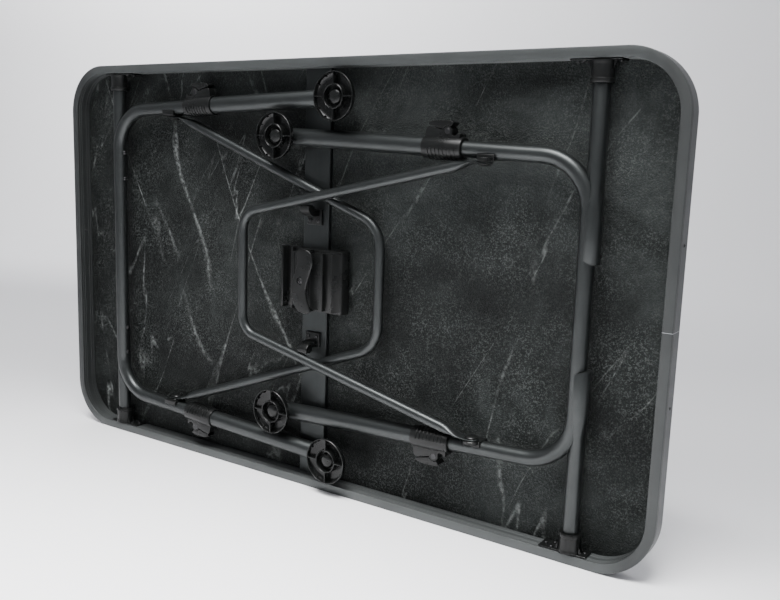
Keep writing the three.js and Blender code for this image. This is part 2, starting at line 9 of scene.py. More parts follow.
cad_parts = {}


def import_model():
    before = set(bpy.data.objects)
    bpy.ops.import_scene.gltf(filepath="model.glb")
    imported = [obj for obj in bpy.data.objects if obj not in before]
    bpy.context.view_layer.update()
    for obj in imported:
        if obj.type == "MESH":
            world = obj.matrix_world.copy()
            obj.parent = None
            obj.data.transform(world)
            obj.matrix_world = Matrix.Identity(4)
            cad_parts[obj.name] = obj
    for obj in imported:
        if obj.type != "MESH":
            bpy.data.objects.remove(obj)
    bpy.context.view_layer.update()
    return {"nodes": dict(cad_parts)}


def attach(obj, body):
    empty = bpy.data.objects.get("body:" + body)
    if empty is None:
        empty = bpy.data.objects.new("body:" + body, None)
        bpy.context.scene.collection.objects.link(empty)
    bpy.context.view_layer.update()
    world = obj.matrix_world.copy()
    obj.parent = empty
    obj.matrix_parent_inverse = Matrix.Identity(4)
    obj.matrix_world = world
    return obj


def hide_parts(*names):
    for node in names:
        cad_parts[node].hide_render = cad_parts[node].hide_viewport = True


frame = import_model()

# ---- sizes, millimetres in the table's own frame; y grows toward the use surface ----
MM = 0.001
SHIFT_Y = -7.0
HALF_L = 600.0
WIDTH = 710.0
MID = WIDTH / 2
RIM_CORNER = 87.0
RIM_FACE = 14.5
ARM_X = 476.0
PIVOT_Y = 11.0
LEG_Y = 6.5
TUBE_R = 12.0
OUTER_R = 14.2
CLAMP_REACH = 220.0
FOOT_REACH = 536.0
BRACE_REACH = 154.0
BRACE_R = 8.0
BRACE_STACK = 16.5
PIN_OUT = 24.0
SLEEVE_R = 17.0
RAIL_Y = 21.0
RIVET_Y = 8.5
LEGS = {
    "left": dict(side=-1, pivot=471.5, base=468.0, sleeve=0.0, half=275.0, arm_x=370.0, splay=0.0437, stub=134.0,
                 brace_y=11.0, brace_base=136.6, brace_half=97.0, bend=52.0, pin_top=3.4),
    "right": dict(side=1, pivot=478.5, base=475.0, sleeve=14.0, half=215.2, arm_x=399.0, splay=0.0369, stub=73.0,
                  brace_y=-6.0, brace_base=136.9, brace_half=102.0, bend=36.0, pin_top=8.0),
}


# the slate's three sets of veins: tilt (radians), noise scale, half width, strength
VEINS = ((0.36, 2.6, 0.0009, 0.40), (-0.26, 3.7, 0.0012, 0.36), (-0.5, 5.2, 0.0014, 0.32))

# the camera: azimuth, pitch and roll in degrees, lens in mm, place in metres
CAMERA_TURN = (33.6597, -9.5219, 1.9426)
CAMERA_LENS = 40.466
CAMERA_PLACE = (0.9063, -1.1192, 0.5656)


# ---- materials ----
def new_material(name):
    mat = bpy.data.materials.new(name)
    mat.use_nodes = True
    nodes = mat.node_tree.nodes
    links = mat.node_tree.links
    shader = nodes["Principled BSDF"]
    coords = nodes.new("ShaderNodeTexCoord").outputs["Object"]
    return mat, nodes, links, shader, coords


def noise(nodes, links, vector, scale, detail=4.0, rough=0.55, distort=0.0):
    n = nodes.new("ShaderNodeTexNoise")
    n.inputs["Scale"].default_value = scale
    n.inputs["Detail"].default_value = detail
    n.inputs["Roughness"].default_value = rough
    n.inputs["Distortion"].default_value = distort
    links.new(vector, n.inputs["Vector"])
    return n.outputs["Fac"]


def stretch(nodes, links, vector, scale):
    m = nodes.new("ShaderNodeMapping")
    m.inputs["Scale"].default_value = scale
    links.new(vector, m.inputs["Vector"])
    return m.outputs["Vector"]


def ramp(nodes, links, fac, stops):
    r = nodes.new("ShaderNodeValToRGB")
    while len(r.color_ramp.elements) < len(stops):
        r.color_ramp.elements.new(0.5)
    for element, (place, value) in zip(r.color_ramp.elements, stops):
        element.position = place
        color = (value, value, value) if isinstance(value, float) else value
        element.color = (*color, 1.0)
    links.new(fac, r.inputs["Fac"])
    return r.outputs["Color"]


def maths(nodes, links, op, a, b=None):
    m = nodes.new("ShaderNodeMath")
    m.operation = op
    for socket, value in zip(m.inputs, (a, b)):
        if value is None:
            continue
        if isinstance(value, (int, float)):
            socket.default_value = value
        else:
            links.new(value, socket)
    return m.outputs["Value"]


def blend(nodes, links, kind, fac, a, b):
    m = nodes.new("ShaderNodeMix")
    m.data_type = "RGBA"
    m.blend_type = kind
    for socket, value in zip((m.inputs[0], m.inputs[6], m.inputs[7]), (fac, a, b)):
        if isinstance(value, float):
            socket.default_value = value
        elif isinstance(value, tuple):
            socket.default_value = (*value, 1.0)
        else:
            links.new(value, socket)
    return m.outputs[2]


def bump(nodes, links, shader, height, strength, distance):
    b = nodes.new("ShaderNodeBump")
    b.inputs["Strength"].default_value = strength
    b.inputs["Distance"].default_value = distance
    links.new(height, b.inputs["Height"])
    links.new(b.outputs["Normal"], shader.inputs["Normal"])


def grain_direction(nodes, links, coords):
    """The grain's direction, along the long sides and upright on the short ends, and how upright it is."""
    split = nodes.new("ShaderNodeSeparateXYZ")
    links.new(coords, split.inputs[0])
    upright = ramp(nodes, links, maths(nodes, links, "ABSOLUTE", split.outputs["X"]), [(0.53, 0.0), (0.565, 1.0)])
    direction = nodes.new("ShaderNodeCombineXYZ")
    links.new(maths(nodes, links, "SUBTRACT", 1.0, upright), direction.inputs["X"])
    links.new(upright, direction.inputs["Z"])
    return direction.outputs[0], upright


def metal(name, dark, light, roughness, grain, drawn=0.0, coat=0.0, metallic=0.82):
    """Satin metal with drawn grain and faint handling marks; drawn metal gets painted shade on its short ends."""
    mat, nodes, links, shader, coords = new_material(name)
    shader.inputs["Metallic"].default_value = metallic
    shader.inputs["Coat Weight"].default_value = coat
    shader.inputs["Coat Roughness"].default_value = 0.24
    shader.inputs["Anisotropic"].default_value = drawn
    if drawn > 0:
        tangent, upright = grain_direction(nodes, links, coords)
        links.new(tangent, shader.inputs["Tangent"])
    cloud = noise(nodes, links, coords, 14.0, 5.0, 0.6)
    base = ramp(nodes, links, cloud, [(0.3, dark), (0.7, light)])
    fine = noise(nodes, links, stretch(nodes, links, coords, grain), 1.0, 3.0, 0.6)
    base = blend(nodes, links, "MULTIPLY", 0.5, base, ramp(nodes, links, fine, [(0.25, 0.72), (0.75, 1.0)]))
    if drawn > 0:  # painted shade: the short ends are darker than the long sides, standing in for how the light falls on them
        painted_end_shade = ramp(nodes, links, upright, [(0.0, 1.0), (1.0, 0.5)])
        base = blend(nodes, links, "MULTIPLY", 1.0, base, painted_end_shade)
    links.new(base, shader.inputs["Base Color"])
    smudge = noise(nodes, links, coords, 9.0, 6.0, 0.65, 0.4)
    low, high = roughness
    links.new(ramp(nodes, links, smudge, [(0.3, low), (0.7, high)]), shader.inputs["Roughness"])
    speck = noise(nodes, links, coords, 900.0, 2.0, 0.5)
    height = maths(nodes, links, "ADD", maths(nodes, links, "MULTIPLY", speck, 0.6), fine)
    bump(nodes, links, shader, height, 0.12, 0.0003)
    return mat


def slate():
    """Dark laminate printed with cloudy slate, pale hairline veins and a leathery grain, with painted light that
    grows towards the top and the right.
    """
    mat, nodes, links, shader, coords = new_material("slate_laminate_detail")
    split = nodes.new("ShaderNodeSeparateXYZ")
    links.new(coords, split.inputs[0])
    # painted light: the slate grows lighter towards the top and towards the right end
    painted_light_drift = maths(nodes, links, "ADD", maths(nodes, links, "MULTIPLY", split.outputs["X"], 0.12),
                  maths(nodes, links, "MULTIPLY", split.outputs["Z"], 0.24))
    cloud = maths(nodes, links, "ADD", noise(nodes, links, coords, 5.0, 9.0, 0.66, 0.6),
                  maths(nodes, links, "SUBTRACT", painted_light_drift, 0.090))
    base = ramp(nodes, links, cloud, [(0.38, (0.0035, 0.0042, 0.0040)), (0.5, (0.0084, 0.0100, 0.0094)),
                                      (0.66, (0.028, 0.032, 0.031))])
    mottle = noise(nodes, links, coords, 60.0, 6.0, 0.7)
    base = blend(nodes, links, "MULTIPLY", 0.7, base, ramp(nodes, links, mottle, [(0.3, 0.5), (0.7, 1.0)]))
    ripple = noise(nodes, links, coords, 430.0, 4.0, 0.7, 0.5)
    flecks = maths(nodes, links, "MULTIPLY", ramp(nodes, links, ripple, [(0.51, 0.0), (0.60, 1.0)]),
                   ramp(nodes, links, noise(nodes, links, coords, 12.0, 5.0, 0.6), [(0.36, 0.12), (0.66, 0.75)]))
    base = blend(nodes, links, "MIX", maths(nodes, links, "MULTIPLY", flecks, 0.55), base, (0.13, 0.142, 0.136))
    for turn, scale, width, amount in VEINS:
        turned = nodes.new("ShaderNodeMapping")
        turned.inputs["Location"].default_value = (scale, 3.0 * scale, turn)
        turned.inputs["Rotation"].default_value = (0.0, turn, 0.0)
        links.new(coords, turned.inputs["Vector"])
        long = stretch(nodes, links, turned.outputs["Vector"], (1.0, 1.0, 0.14))
        lines = noise(nodes, links, long, scale, 4.0, 0.5, 0.25)
        away = maths(nodes, links, "ABSOLUTE", maths(nodes, links, "SUBTRACT", lines, 0.5))
        vein = ramp(nodes, links, away, [(0.0, 1.0), (width, 0.0)])
        patchy = ramp(nodes, links, noise(nodes, links, turned.outputs["Vector"], 8.0, 3.0),
                      [(0.44, 0.0), (0.6, 1.0)])
        broken = ramp(nodes, links, noise(nodes, links, coords, 150.0, 3.0), [(0.4, 0.15), (0.6, 1.0)])
        fac = maths(nodes, links, "MULTIPLY", maths(nodes, links, "MULTIPLY", vein, patchy), amount)
        base = blend(nodes, links, "MIX", maths(nodes, links, "MULTIPLY", fac, broken), base, (0.34, 0.36, 0.35))
    links.new(base, shader.inputs["Base Color"])
    shader.inputs["Specular IOR Level"].default_value = 0.13
    cells = nodes.new("ShaderNodeTexVoronoi")
    cells.feature = "SMOOTH_F1"
    cells.inputs["Scale"].default_value = 420.0
    cells.inputs["Smoothness"].default_value = 0.7
    links.new(coords, cells.inputs["Vector"])
    height = maths(nodes, links, "ADD", cells.outputs["Distance"], maths(nodes, links, "MULTIPLY", ripple, 1.6))
    links.new(ramp(nodes, links, ripple, [(0.3, 0.42), (0.7, 0.6)]), shader.inputs["Roughness"])
    bump(nodes, links, shader, height, 0.9, 0.0014)
    return mat


def plastic(name, color, low, high, grain, strength):
    """Moulded black plastic: fine spark-eroded grain and uneven polish."""
    mat, nodes, links, shader, coords = new_material(name)
    tint = noise(nodes, links, coords, 40.0, 4.0, 0.6)
    pale = tuple(c * 1.7 for c in color)
    base = ramp(nodes, links, tint, [(0.3, color), (0.75, pale)])
    links.new(base, shader.inputs["Base Color"])
    shader.inputs["Specular IOR Level"].default_value = 0.24
    patches = noise(nodes, links, coords, 26.0, 5.0, 0.65)
    links.new(ramp(nodes, links, patches, [(0.3, low), (0.7, high)]), shader.inputs["Roughness"])
    bump(nodes, links, shader, noise(nodes, links, coords, grain, 2.0, 0.5), strength, 0.0002)
    return mat


# the rim: drawn grain, with painted shade on its short ends
RIM = metal("rim_aluminium_detail", (0.062, 0.067, 0.067), (0.078, 0.084, 0.083), (0.40, 0.52), (3.0, 900.0, 3.0),
            drawn=0.4, metallic=0.45)
TUBE = metal("tube_aluminium_detail", (0.026, 0.029, 0.029), (0.035, 0.039, 0.039), (0.38, 0.48), (40.0, 420.0, 40.0),
             coat=0.3)
RAIL = metal("rail_aluminium_detail", (0.028, 0.031, 0.031), (0.040, 0.044, 0.044), (0.4, 0.52), (300.0, 300.0, 3.0))
# bright steel for the rim seam strip, a painted highlight
SEAM_HIGHLIGHT_STEEL = metal("seam_highlight_steel", (0.30, 0.31, 0.32), (0.42, 0.43, 0.44), (0.25, 0.4), (300.0, 300.0, 300.0))
SLATE = slate()
BLACK = plastic("black_plastic_detail", (0.0040, 0.0043, 0.0042), 0.24, 0.38, 1500.0, 0.2)
GLOSS = plastic("black_foot_detail", (0.0040, 0.0043, 0.0042), 0.18, 0.3, 900.0, 0.12)
DARK_SCREW = metal("blackened_screw_detail", (0.03, 0.03, 0.031), (0.05, 0.05, 0.052), (0.3, 0.42),
                   (200.0, 200.0, 200.0))


# ---- mesh tools ----
def world(x, y, z):
    return Vector((x * MM, (y + SHIFT_Y) * MM, z * MM))


def piece(name, verts, faces, mat, body, slot, nodes=(), matrix=None, smooth=40.0):
    """A mesh piece from points in millimetres, optionally placed by a matrix in millimetres."""
    points = [Vector(v) for v in verts]
    if matrix is not None:
        points = [matrix @ p for p in points]
    mesh = bpy.data.meshes.new(name)
    mesh.from_pydata([world(*p) for p in points], [], faces)
    bm = bmesh.new()
    bm.from_mesh(mesh)
    bmesh.ops.remove_doubles(bm, verts=bm.verts, dist=1e-6)
    bmesh.ops.recalc_face_normals(bm, faces=bm.faces)
    bm.to_mesh(mesh)
    bm.free()
    obj = bpy.data.objects.new(name, mesh)
    bpy.context.scene.collection.objects.link(obj)
    mesh.materials.append(mat)
    obj["body_name"] = body
    obj["slot_name"] = slot
    obj["stands_for"] = list(nodes)
    obj["smooth"] = smooth
    return obj


def settle(obj):
    """Applies an object's modifiers to its mesh."""
    bpy.context.view_layer.update()
    evaluated = obj.evaluated_get(bpy.context.evaluated_depsgraph_get())
    mesh = bpy.data.meshes.new_from_object(evaluated)
    obj.modifiers.clear()
    old = obj.data
    obj.data = mesh
    bpy.data.meshes.remove(old)


def boolean(obj, other, operation="DIFFERENCE"):
    modifier = obj.modifiers.new("cut", "BOOLEAN")
    modifier.operation = operation
    modifier.solver = "EXACT"
    modifier.object = other
    settle(obj)
    mesh = other.data
    bpy.data.objects.remove(other)
    bpy.data.meshes.remove(mesh)
    return obj


def bevel(obj, width, segments=2, angle=30.0):
    modifier = obj.modifiers.new("edges", "BEVEL")
    modifier.width = width * MM
    modifier.segments = segments
    modifier.limit_method = "ANGLE"
    modifier.angle_limit = math.radians(angle)
    modifier.harden_normals = False
    settle(obj)
    return obj


def join(obj, *others):
    for other in others:
        bm = bmesh.new()
        bm.from_mesh(obj.data)
        slots = {m.name: i for i, m in enumerate(obj.data.materials)}
        start = len(bm.faces)
        bm.from_mesh(other.data)
        bm.faces.ensure_lookup_table()
        mat = other.data.materials[0]
        if mat.name not in slots:
            obj.data.materials.append(mat)
            slots[mat.name] = len(obj.data.materials) - 1
        for face in bm.faces[start:]:
            face.material_index = slots[mat.name]
        bm.to_mesh(obj.data)
        bm.free()
        mesh = other.data
        bpy.data.objects.remove(other)
        bpy.data.meshes.remove(mesh)
    return obj


def finish_piece(obj):
    mesh = obj.data
    for polygon in mesh.polygons:
        polygon.use_smooth = True
    mesh.set_sharp_from_angle(angle=math.radians(obj["smooth"]))
    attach(obj, obj["body_name"])
    if len(obj["stands_for"]):
        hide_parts(*list(obj["stands_for"]))


def skin(rings, closed=False):
    """Joins rings of points into a shell: a closed loop of rings, or a run capped at both ends."""
    count = len(rings[0])
    verts = [p for ring in rings for p in ring]
    faces = []
    bands = len(rings) if closed else len(rings) - 1
    for i in range(bands):
        j = (i + 1) % len(rings)
        for k in range(count):
            n = (k + 1) % count
            faces.append((i * count + k, i * count + n, j * count + n, j * count + k))
    if not closed:
        faces.append(tuple(range(count)))
        faces.append(tuple((len(rings) - 1) * count + k for k in range(count)))
    return verts, faces


def lathe(profile, sides=40, axis="z"):
    """A closed solid turned from [radius, height] points about a local axis."""
    turn = {"z": Matrix.Identity(3), "x": Matrix.Rotation(math.pi / 2, 3, "Y"),
            "y": Matrix.Rotation(-math.pi / 2, 3, "X")}[axis]
    rings = []
    for r, h in profile:
        ring = []
        for k in range(sides):
            a = 2 * math.pi * k / sides
            ring.append(turn @ Vector((max(r, 1e-4) * math.cos(a), max(r, 1e-4) * math.sin(a), h)))
        rings.append(ring)
    return skin(rings)


def ring_lathe(profile, sides=40, axis="z"):
    """Like lathe, for a profile that is a closed loop away from the axis."""
    verts = lathe(profile, sides, axis)[0]
    count = len(profile)
    faces = []
    for i in range(count):
        j = (i + 1) % count
        for k in range(sides):
            n = (k + 1) % sides
            faces.append((i * sides + k, i * sides + n, j * sides + n, j * sides + k))
    return verts, faces


def box(x0, x1, y0, y1, z0, z1):
    verts = [(x, y, z) for x in (x0, x1) for y in (y0, y1) for z in (z0, z1)]
    faces = [(0, 1, 3, 2), (4, 6, 7, 5), (0, 4, 5, 1), (2, 3, 7, 6), (0, 2, 6, 4), (1, 5, 7, 3)]
    return verts, faces


def prism(points, low, high, axis="y"):
    """An outline pushed along y (points are x, z) or along z (points are x, y)."""
    put = (lambda u, v, w: (u, w, v)) if axis == "y" else (lambda u, v, w: (u, v, w))
    return skin([[put(u, v, low) for u, v in points], [put(u, v, high) for u, v in points]])


def arc(cx, cy, r, start, end, steps):
    out = []
    for i in range(steps + 1):
        a = math.radians(start + (end - start) * i / steps)
        out.append((cx + r * math.cos(a), cy + r * math.sin(a)))
    return out


def rounded_outline(x0, x1, z0, z1, radius):
    points = []
    for cx, cz, start in ((x1 - radius, z1 - radius, 0), (x0 + radius, z1 - radius, 90),
                          (x0 + radius, z0 + radius, 180), (x1 - radius, z0 + radius, 270)):
        points += arc(cx, cz, radius, start, start + 90, 8)
    return points


def spline(knots, steps):
    """A smooth curve through every knot."""
    ends = [knots[0]] + list(knots) + [knots[-1]]
    points = []
    for a, b, c, d in zip(ends, ends[1:], ends[2:], ends[3:]):
        for k in range(steps):
            t = k / steps
            points.append(tuple(
                0.5 * (2 * q + (r_ - p) * t + (2 * p - 5 * q + 4 * r_ - w) * t * t
                       + (3 * q - p - 3 * r_ + w) * t ** 3)
                for p, q, r_, w in zip(a, b, c, d)))
    return points + [tuple(knots[-1])]


def rounded_path(corners, radius, steps):
    """Stations (x, z, dx, dz) along a polyline whose corners are rounded."""
    pts = [Vector(c) for c in corners]
    heads = [(b - a).normalized() for a, b in zip(pts, pts[1:])]
    out = [(*pts[0], *heads[0])]
    for i in range(1, len(pts) - 1):
        before, after = heads[i - 1], heads[i]
        turn = math.atan2(before.x * after.y - before.y * after.x, before.dot(after))
        start = pts[i] - before * radius * math.tan(abs(turn) / 2)
        side = Vector((-before.y, before.x)) * math.copysign(radius, turn)
        for k in range(steps + 1):
            spin = Matrix.Rotation(turn * k / steps, 2)
            p = start + side + spin @ (-side)
            d = spin @ before
            out.append((p.x, p.y, d.x, d.y))
    out.append((*pts[-1], *heads[-1]))
    return out


def tube(stations, y, radius, sides=32):
    """Skin of a tube; a station may carry its own half-width across and half-depth."""
    rings = []
    for s in stations:
        x, z, dx, dz = s[:4]
        across, deep = s[4:6] if len(s) > 4 else (radius, radius)
        ring = []
        for k in range(sides):
            a = 2 * math.pi * (k + 0.5) / sides
            w = across * math.cos(a)
            ring.append((x - dz * w, y + deep * math.sin(a), z + dx * w))
        rings.append(ring)
    return skin(rings)


# ---- the arms of a leg ----
def arm_start(leg, end):
    return leg["side"] * ARM_X, MID + end * (leg["half"] - leg["splay"] * (ARM_X - leg["arm_x"]))


def along_arm(leg, end, reach):
    x, z = arm_start(leg, end)
    return x - leg["side"] * reach, z + end * leg["splay"] * reach


def arm_matrix(leg, end, reach):
    length = math.hypot(1.0, leg["splay"])
    along = Vector((-leg["side"] / length, 0.0, end * leg["splay"] / length))
    out = Vector((-along.z, 0.0, along.x)) * (-leg["side"] * end)
    across = out.cross(along)
    x, z = along_arm(leg, end, reach)
    m = Matrix((along, across, out)).transposed().to_4x4()
    m.translation = Vector((x, LEG_Y, z))
    return m


def leg_path(leg, reach=440.0, steps=20):
    base = leg["side"] * leg["base"]
    corner = leg["half"] - leg["splay"] * (leg["base"] - leg["arm_x"])
    return rounded_path([along_arm(leg, 1, reach), (base, MID + corner), (base, MID - corner),
                         along_arm(leg, -1, reach)], 74.0, steps)


def brace_pivot(leg, end):
    x, z = along_arm(leg, end, BRACE_REACH)
    return x, z - end * BRACE_STACK


# ---- screws and rivets ----
def screw(name, place, facing, radius, body, mat=DARK_SCREW):
    """A pan-head screw with a cross recess."""
    profile = [(0, 0), (radius, 0), (radius, 0.25 * radius), (0.92 * radius, 0.45 * radius),
               (0.7 * radius, 0.62 * radius), (0.35 * radius, 0.7 * radius), (0, 0.72 * radius)]
    verts, faces = lathe(profile, 28)
    turn = Vector((0, 0, 1)).rotation_difference(Vector(facing)).to_matrix().to_4x4()
    matrix = Matrix.Translation(Vector(place)) @ turn
    head = piece(name, verts, faces, mat, body, "steel_hardware", matrix=matrix, smooth=50.0)
    w, d = 0.16 * radius, 0.6 * radius
    for size in ((d, w), (w, d)):
        cv, cf = box(-size[0], size[0], -size[1], size[1], 0.35 * radius, radius)
        boolean(head, piece("cutter", cv, cf, mat, body, "steel_hardware", matrix=matrix))
    return head


# ---- tabletop ----
def rim():
    ledge = 29.0
    outer = [(0.9, 0.0), (0.35, 0.25), (0.0, 0.9), (0.0, 3.2), (0.45, 3.5), (0.45, 4.3), (0.0, 4.6), (0.0, 28.4)]
    back = arc(5.3, 28.7, 5.3, 180, 100, 8)
    wall = [(RIM_FACE, ledge)]
    for y in (25.5, 20.5, 9.5, 5.5):
        wall += [(RIM_FACE, y + 0.7), (RIM_FACE + 0.45, y + 0.35), (RIM_FACE + 0.45, y - 0.35), (RIM_FACE, y - 0.7)]
    profile = outer + back + [(5.0, 34.0), (5.0, ledge), (8.0, ledge), (8.0, 27.0), (2.2, 27.0), (2.2, 2.2),
                              (12.3, 2.2), (12.3, ledge)] + wall + [(RIM_FACE, 0.8), (14.2, 0.25), (13.6, 0.0)]
    rings = []
    for quarter, (sx, sz) in enumerate(((1, 1), (-1, 1), (-1, -1), (1, -1))):
        for k in range(25):
            a = (quarter + k / 24) * math.pi / 2
            ring = []
            for inset, y in profile:
                r = RIM_CORNER - inset
                ring.append((sx * (HALF_L - RIM_CORNER) + r * math.cos(a), y,
                             MID + sz * (MID - RIM_CORNER) + r * math.sin(a)))
            rings.append(ring)
    verts, faces = skin(rings, closed=True)
    return piece("rim_profile", verts, faces, RIM, "tabletop", "rim_aluminium", ["frame_rim"], smooth=28.0)


def socket(name, leg, upper):
    """Moulded hinge socket: ribbed cup on a screwed base plate."""
    side, end = leg["side"], -1 if upper else 1
    floor = WIDTH - RIM_FACE - 0.3 if upper else RIM_FACE + 0.3
    m = Matrix.Translation(Vector((side * leg["pivot"], PIVOT_Y, floor))) @ Matrix.Diagonal((side, 1, end, 1))
    node = f"{name}_pivot_socket"
    verts, faces = box(-44, 28, -9.2, 17.2, 0, 2.4)
    body = bevel(piece(f"{name}_socket", verts, faces, BLACK, "tabletop", "black_plastic", [node], m), 1.1, 3)
    cup = [(0.3, 3.0), (2.6, 2.2), (4.4, 2.4), (4.4, 4.0), (3.6, 6.0), (3.1, 8.0), (3.1, 24.5), (4.5, 25.5),
           (4.5, 30.0), (3.8, 31.0), (0.9, 31.0), (0.3, 30.4)]
    verts, faces = ring_lathe([(TUBE_R + r, h) for r, h in cup], 48)
    parts = [piece("cup", verts, faces, BLACK, "tabletop", "black_plastic", (), m)]
    for x0 in (-20.4, 15.6):
        for y in (-5.0, 5.0):
            verts, faces = prism([(x0, 2.0), (x0 + 4.8, 2.0), (x0 + 4.8, 3.2 + 10 * (x0 < 0)),
                                  (x0, 3.2 + 10 * (x0 > 0))],
                                 y - 0.8, y + 0.8)
            parts.append(bevel(piece("web", verts, faces, BLACK, "tabletop", "black_plastic", (), m), 0.3, 1))
    join(body, *parts)
    heads = []
    for i, (x, y) in enumerate(((-26, -3.5), (-26, 11.5), (-37, 4.0), (22, 4.0))):
        place = m @ Vector((x, y, 2.4))
        heads.append(screw(f"{name}_socket_screw_{i + 1}", place, (0, 0, end), 3.0, "tabletop"))
    return [body] + heads


def latch():
    """Central latch: two seats for the brace bars, moulded as one block."""
    base = RAIL_Y - 0.3
    section = [(-69, base), (-69, base - 4), (-67.5, 14.5), (-62.5, 7.6), (-57, 2.2), (-55.6, 1.3), (-54.2, 1.0),
               (-53.1, 1.8), (-52.6, 3.4)]
    section += arc(-44, 11, 8.6, 180, 0, 16) + [(-35.4, 3.4), (-34.6, 1.2), (-32.7, 0.0), (10.4, 0.0), (11, -0.6),
                                                (11, -5.8), (11.6, -7.0), (13, -7.5), (27, -8.4), (38.0, -11),
                                                (39.6, -11), (40.4, -10)]
    section += arc(49, -6, 8.6, 180, 0, 16) + [(57.6, -10), (58.2, -11), (59.4, -10.9), (61.6, -6.5), (64.6, -1),
                                               (69.2, 5), (71, 14), (71, base)]
    verts, faces = prism(section, MID - 51, MID + 51, "z")
    body = piece("latch_block", verts, faces, BLACK, "tabletop", "black_plastic", ["latch_housing"], smooth=32.0)
    for z0, z1 in ((MID - 60, MID - 45), (MID + 45, MID + 60)):
        cv, cf = box(-31, 9, -3, 8.5, z0, z1)
        boolean(body, piece("cutter", cv, cf, BLACK, "tabletop", "black_plastic"))
    corners = piece("cutter", *prism(rounded_outline(12, 76, MID - 47, MID + 47, 9.0), -14, 3), BLACK, "tabletop",
                    "black_plastic")
    low_part = piece("cutter", *box(-80, 12, -20, 40, MID - 60, MID + 60), BLACK, "tabletop", "black_plastic")
    back_part = piece("cutter", *box(-80, 80, 3, 40, MID - 60, MID + 60), BLACK, "tabletop", "black_plastic")
    boolean(corners, low_part, "UNION")
    boolean(corners, back_part, "UNION")
    boolean(body, corners, "INTERSECT")
    bevel(body, 0.9, 3)
    ridge = []
    for x in (-27.5, 7.5):
        verts, faces = box(x - 0.9, x + 0.9, -1.1, 0.4, MID - 44, MID + 44)
        ridge.append(bevel(piece("ridge", verts, faces, BLACK, "tabletop", "black_plastic"), 0.4, 2))
    for z in (MID - 30, MID - 10, MID + 10, MID + 30):
        verts, faces = prism([(20, -7.9), (36, -10.5), (36, -8), (20, -6)], z - 0.8, z + 0.8, "z")
        ridge.append(bevel(piece("rib", verts, faces, BLACK, "tabletop", "black_plastic"), 0.3, 1))
    join(body, *ridge)
    return [body]


def latch_lever():
    """S-shaped turning lever, thicker along its rim than in its dished middle."""
    half, width, round_end = 53.0, 15.5, 10.0
    knots = [(10.5, -half), (1, -34), (-3, -15), (0, 0), (4, 12), (10, 32), (5, half)]
    right, left = [], []
    for c, v in spline(knots, 8):
        past = max(0.0, abs(v) - (half - round_end)) / round_end
        reach = width * math.sqrt(max(0.04, 1 - 0.96 * past * past))
        right.append((c + reach, MID + v))
        left.append((c - reach, MID + v))
    outline = right + left[::-1]
    verts, faces = prism(outline, -19.0, -14.3)
    body = bevel(piece("latch_lever_arm", verts, faces, BLACK, "latch_lever", "black_plastic", ["latch_lever"],
                       smooth=40.0), 1.9, 4, 40.0)
    boss = [(0, -14.6), (10.4, -14.6), (10.4, -1.4), (9.6, -0.5), (0, -0.5)]
    verts, faces = lathe(boss, 40, "y")
    hub = piece("hub", verts, faces, BLACK, "latch_lever", "black_plastic", (), Matrix.Translation((0, 0, MID)))
    verts, faces = ring_lathe([(6.4, -19.2), (9.8, -19.2), (10.8, -18.6), (10.8, -18.2), (5.8, -18.2)], 40, "y")
    collar = piece("ring", verts, faces, BLACK, "latch_lever", "black_plastic", (), Matrix.Translation((0, 0, MID)))
    join(body, hub, collar)
    verts, faces = lathe([(0, -22), (6.1, -22), (6.1, -15.7), (0, -15.7)], 40, "y")
    sunk = piece("cutter", verts, faces, BLACK, "latch_lever", "black_plastic", (), Matrix.Translation((0, 0, MID)))
    boolean(body, sunk)
    head = screw("latch_lever_screw", (0, -15.9, MID), (0, -1, 0), 5.2, "tabletop")
    head["stands_for"] = ["latch_screw"]
    return [body, head]


def clip(name, up):
    """Storage clip on the rail: base plate, post and hooked tongue, held by two screws."""
    base = RAIL_Y - 0.3
    m = Matrix.Translation((0, 0, MID)) @ Matrix.Diagonal((1, 1, up, 1))
    verts, faces = box(-15, 15, base - 4, base, 90, 115)
    body = bevel(piece(f"{name}_body", verts, faces, BLACK, "tabletop", "black_plastic", [name], m), 1.0, 3)
    hook = [(base - 1, 103.5), (base - 1, 114), (6, 114), (5, 120.4), (1.5, 121.3), *[(y, z) for y, z in
            arc(-6, 130.5, 9.3, -50, -112, 6)], (-10.4, 118.5), (-9.6, 113.5), (-5, 108.5), (2, 104.5)]
    verts = [(x, y, z) for x in (-9.5, 9.5) for y, z in hook]
    n = len(hook)
    faces = [tuple(range(n)), tuple(range(n, 2 * n))] + [(k, (k + 1) % n, n + (k + 1) % n, n + k) for k in range(n)]
    join(body, bevel(piece("hook", verts, faces, BLACK, "tabletop", "black_plastic", (), m), 0.8, 3))
    heads = []
    for i, x in enumerate((-8.5, 8.5)):
        place = m @ Vector((x, base - 4, 97))
        heads.append(screw(f"{name}_screw_{i + 1}", place, (0, -1, 0), 3.3, "tabletop"))
    return [body] + heads


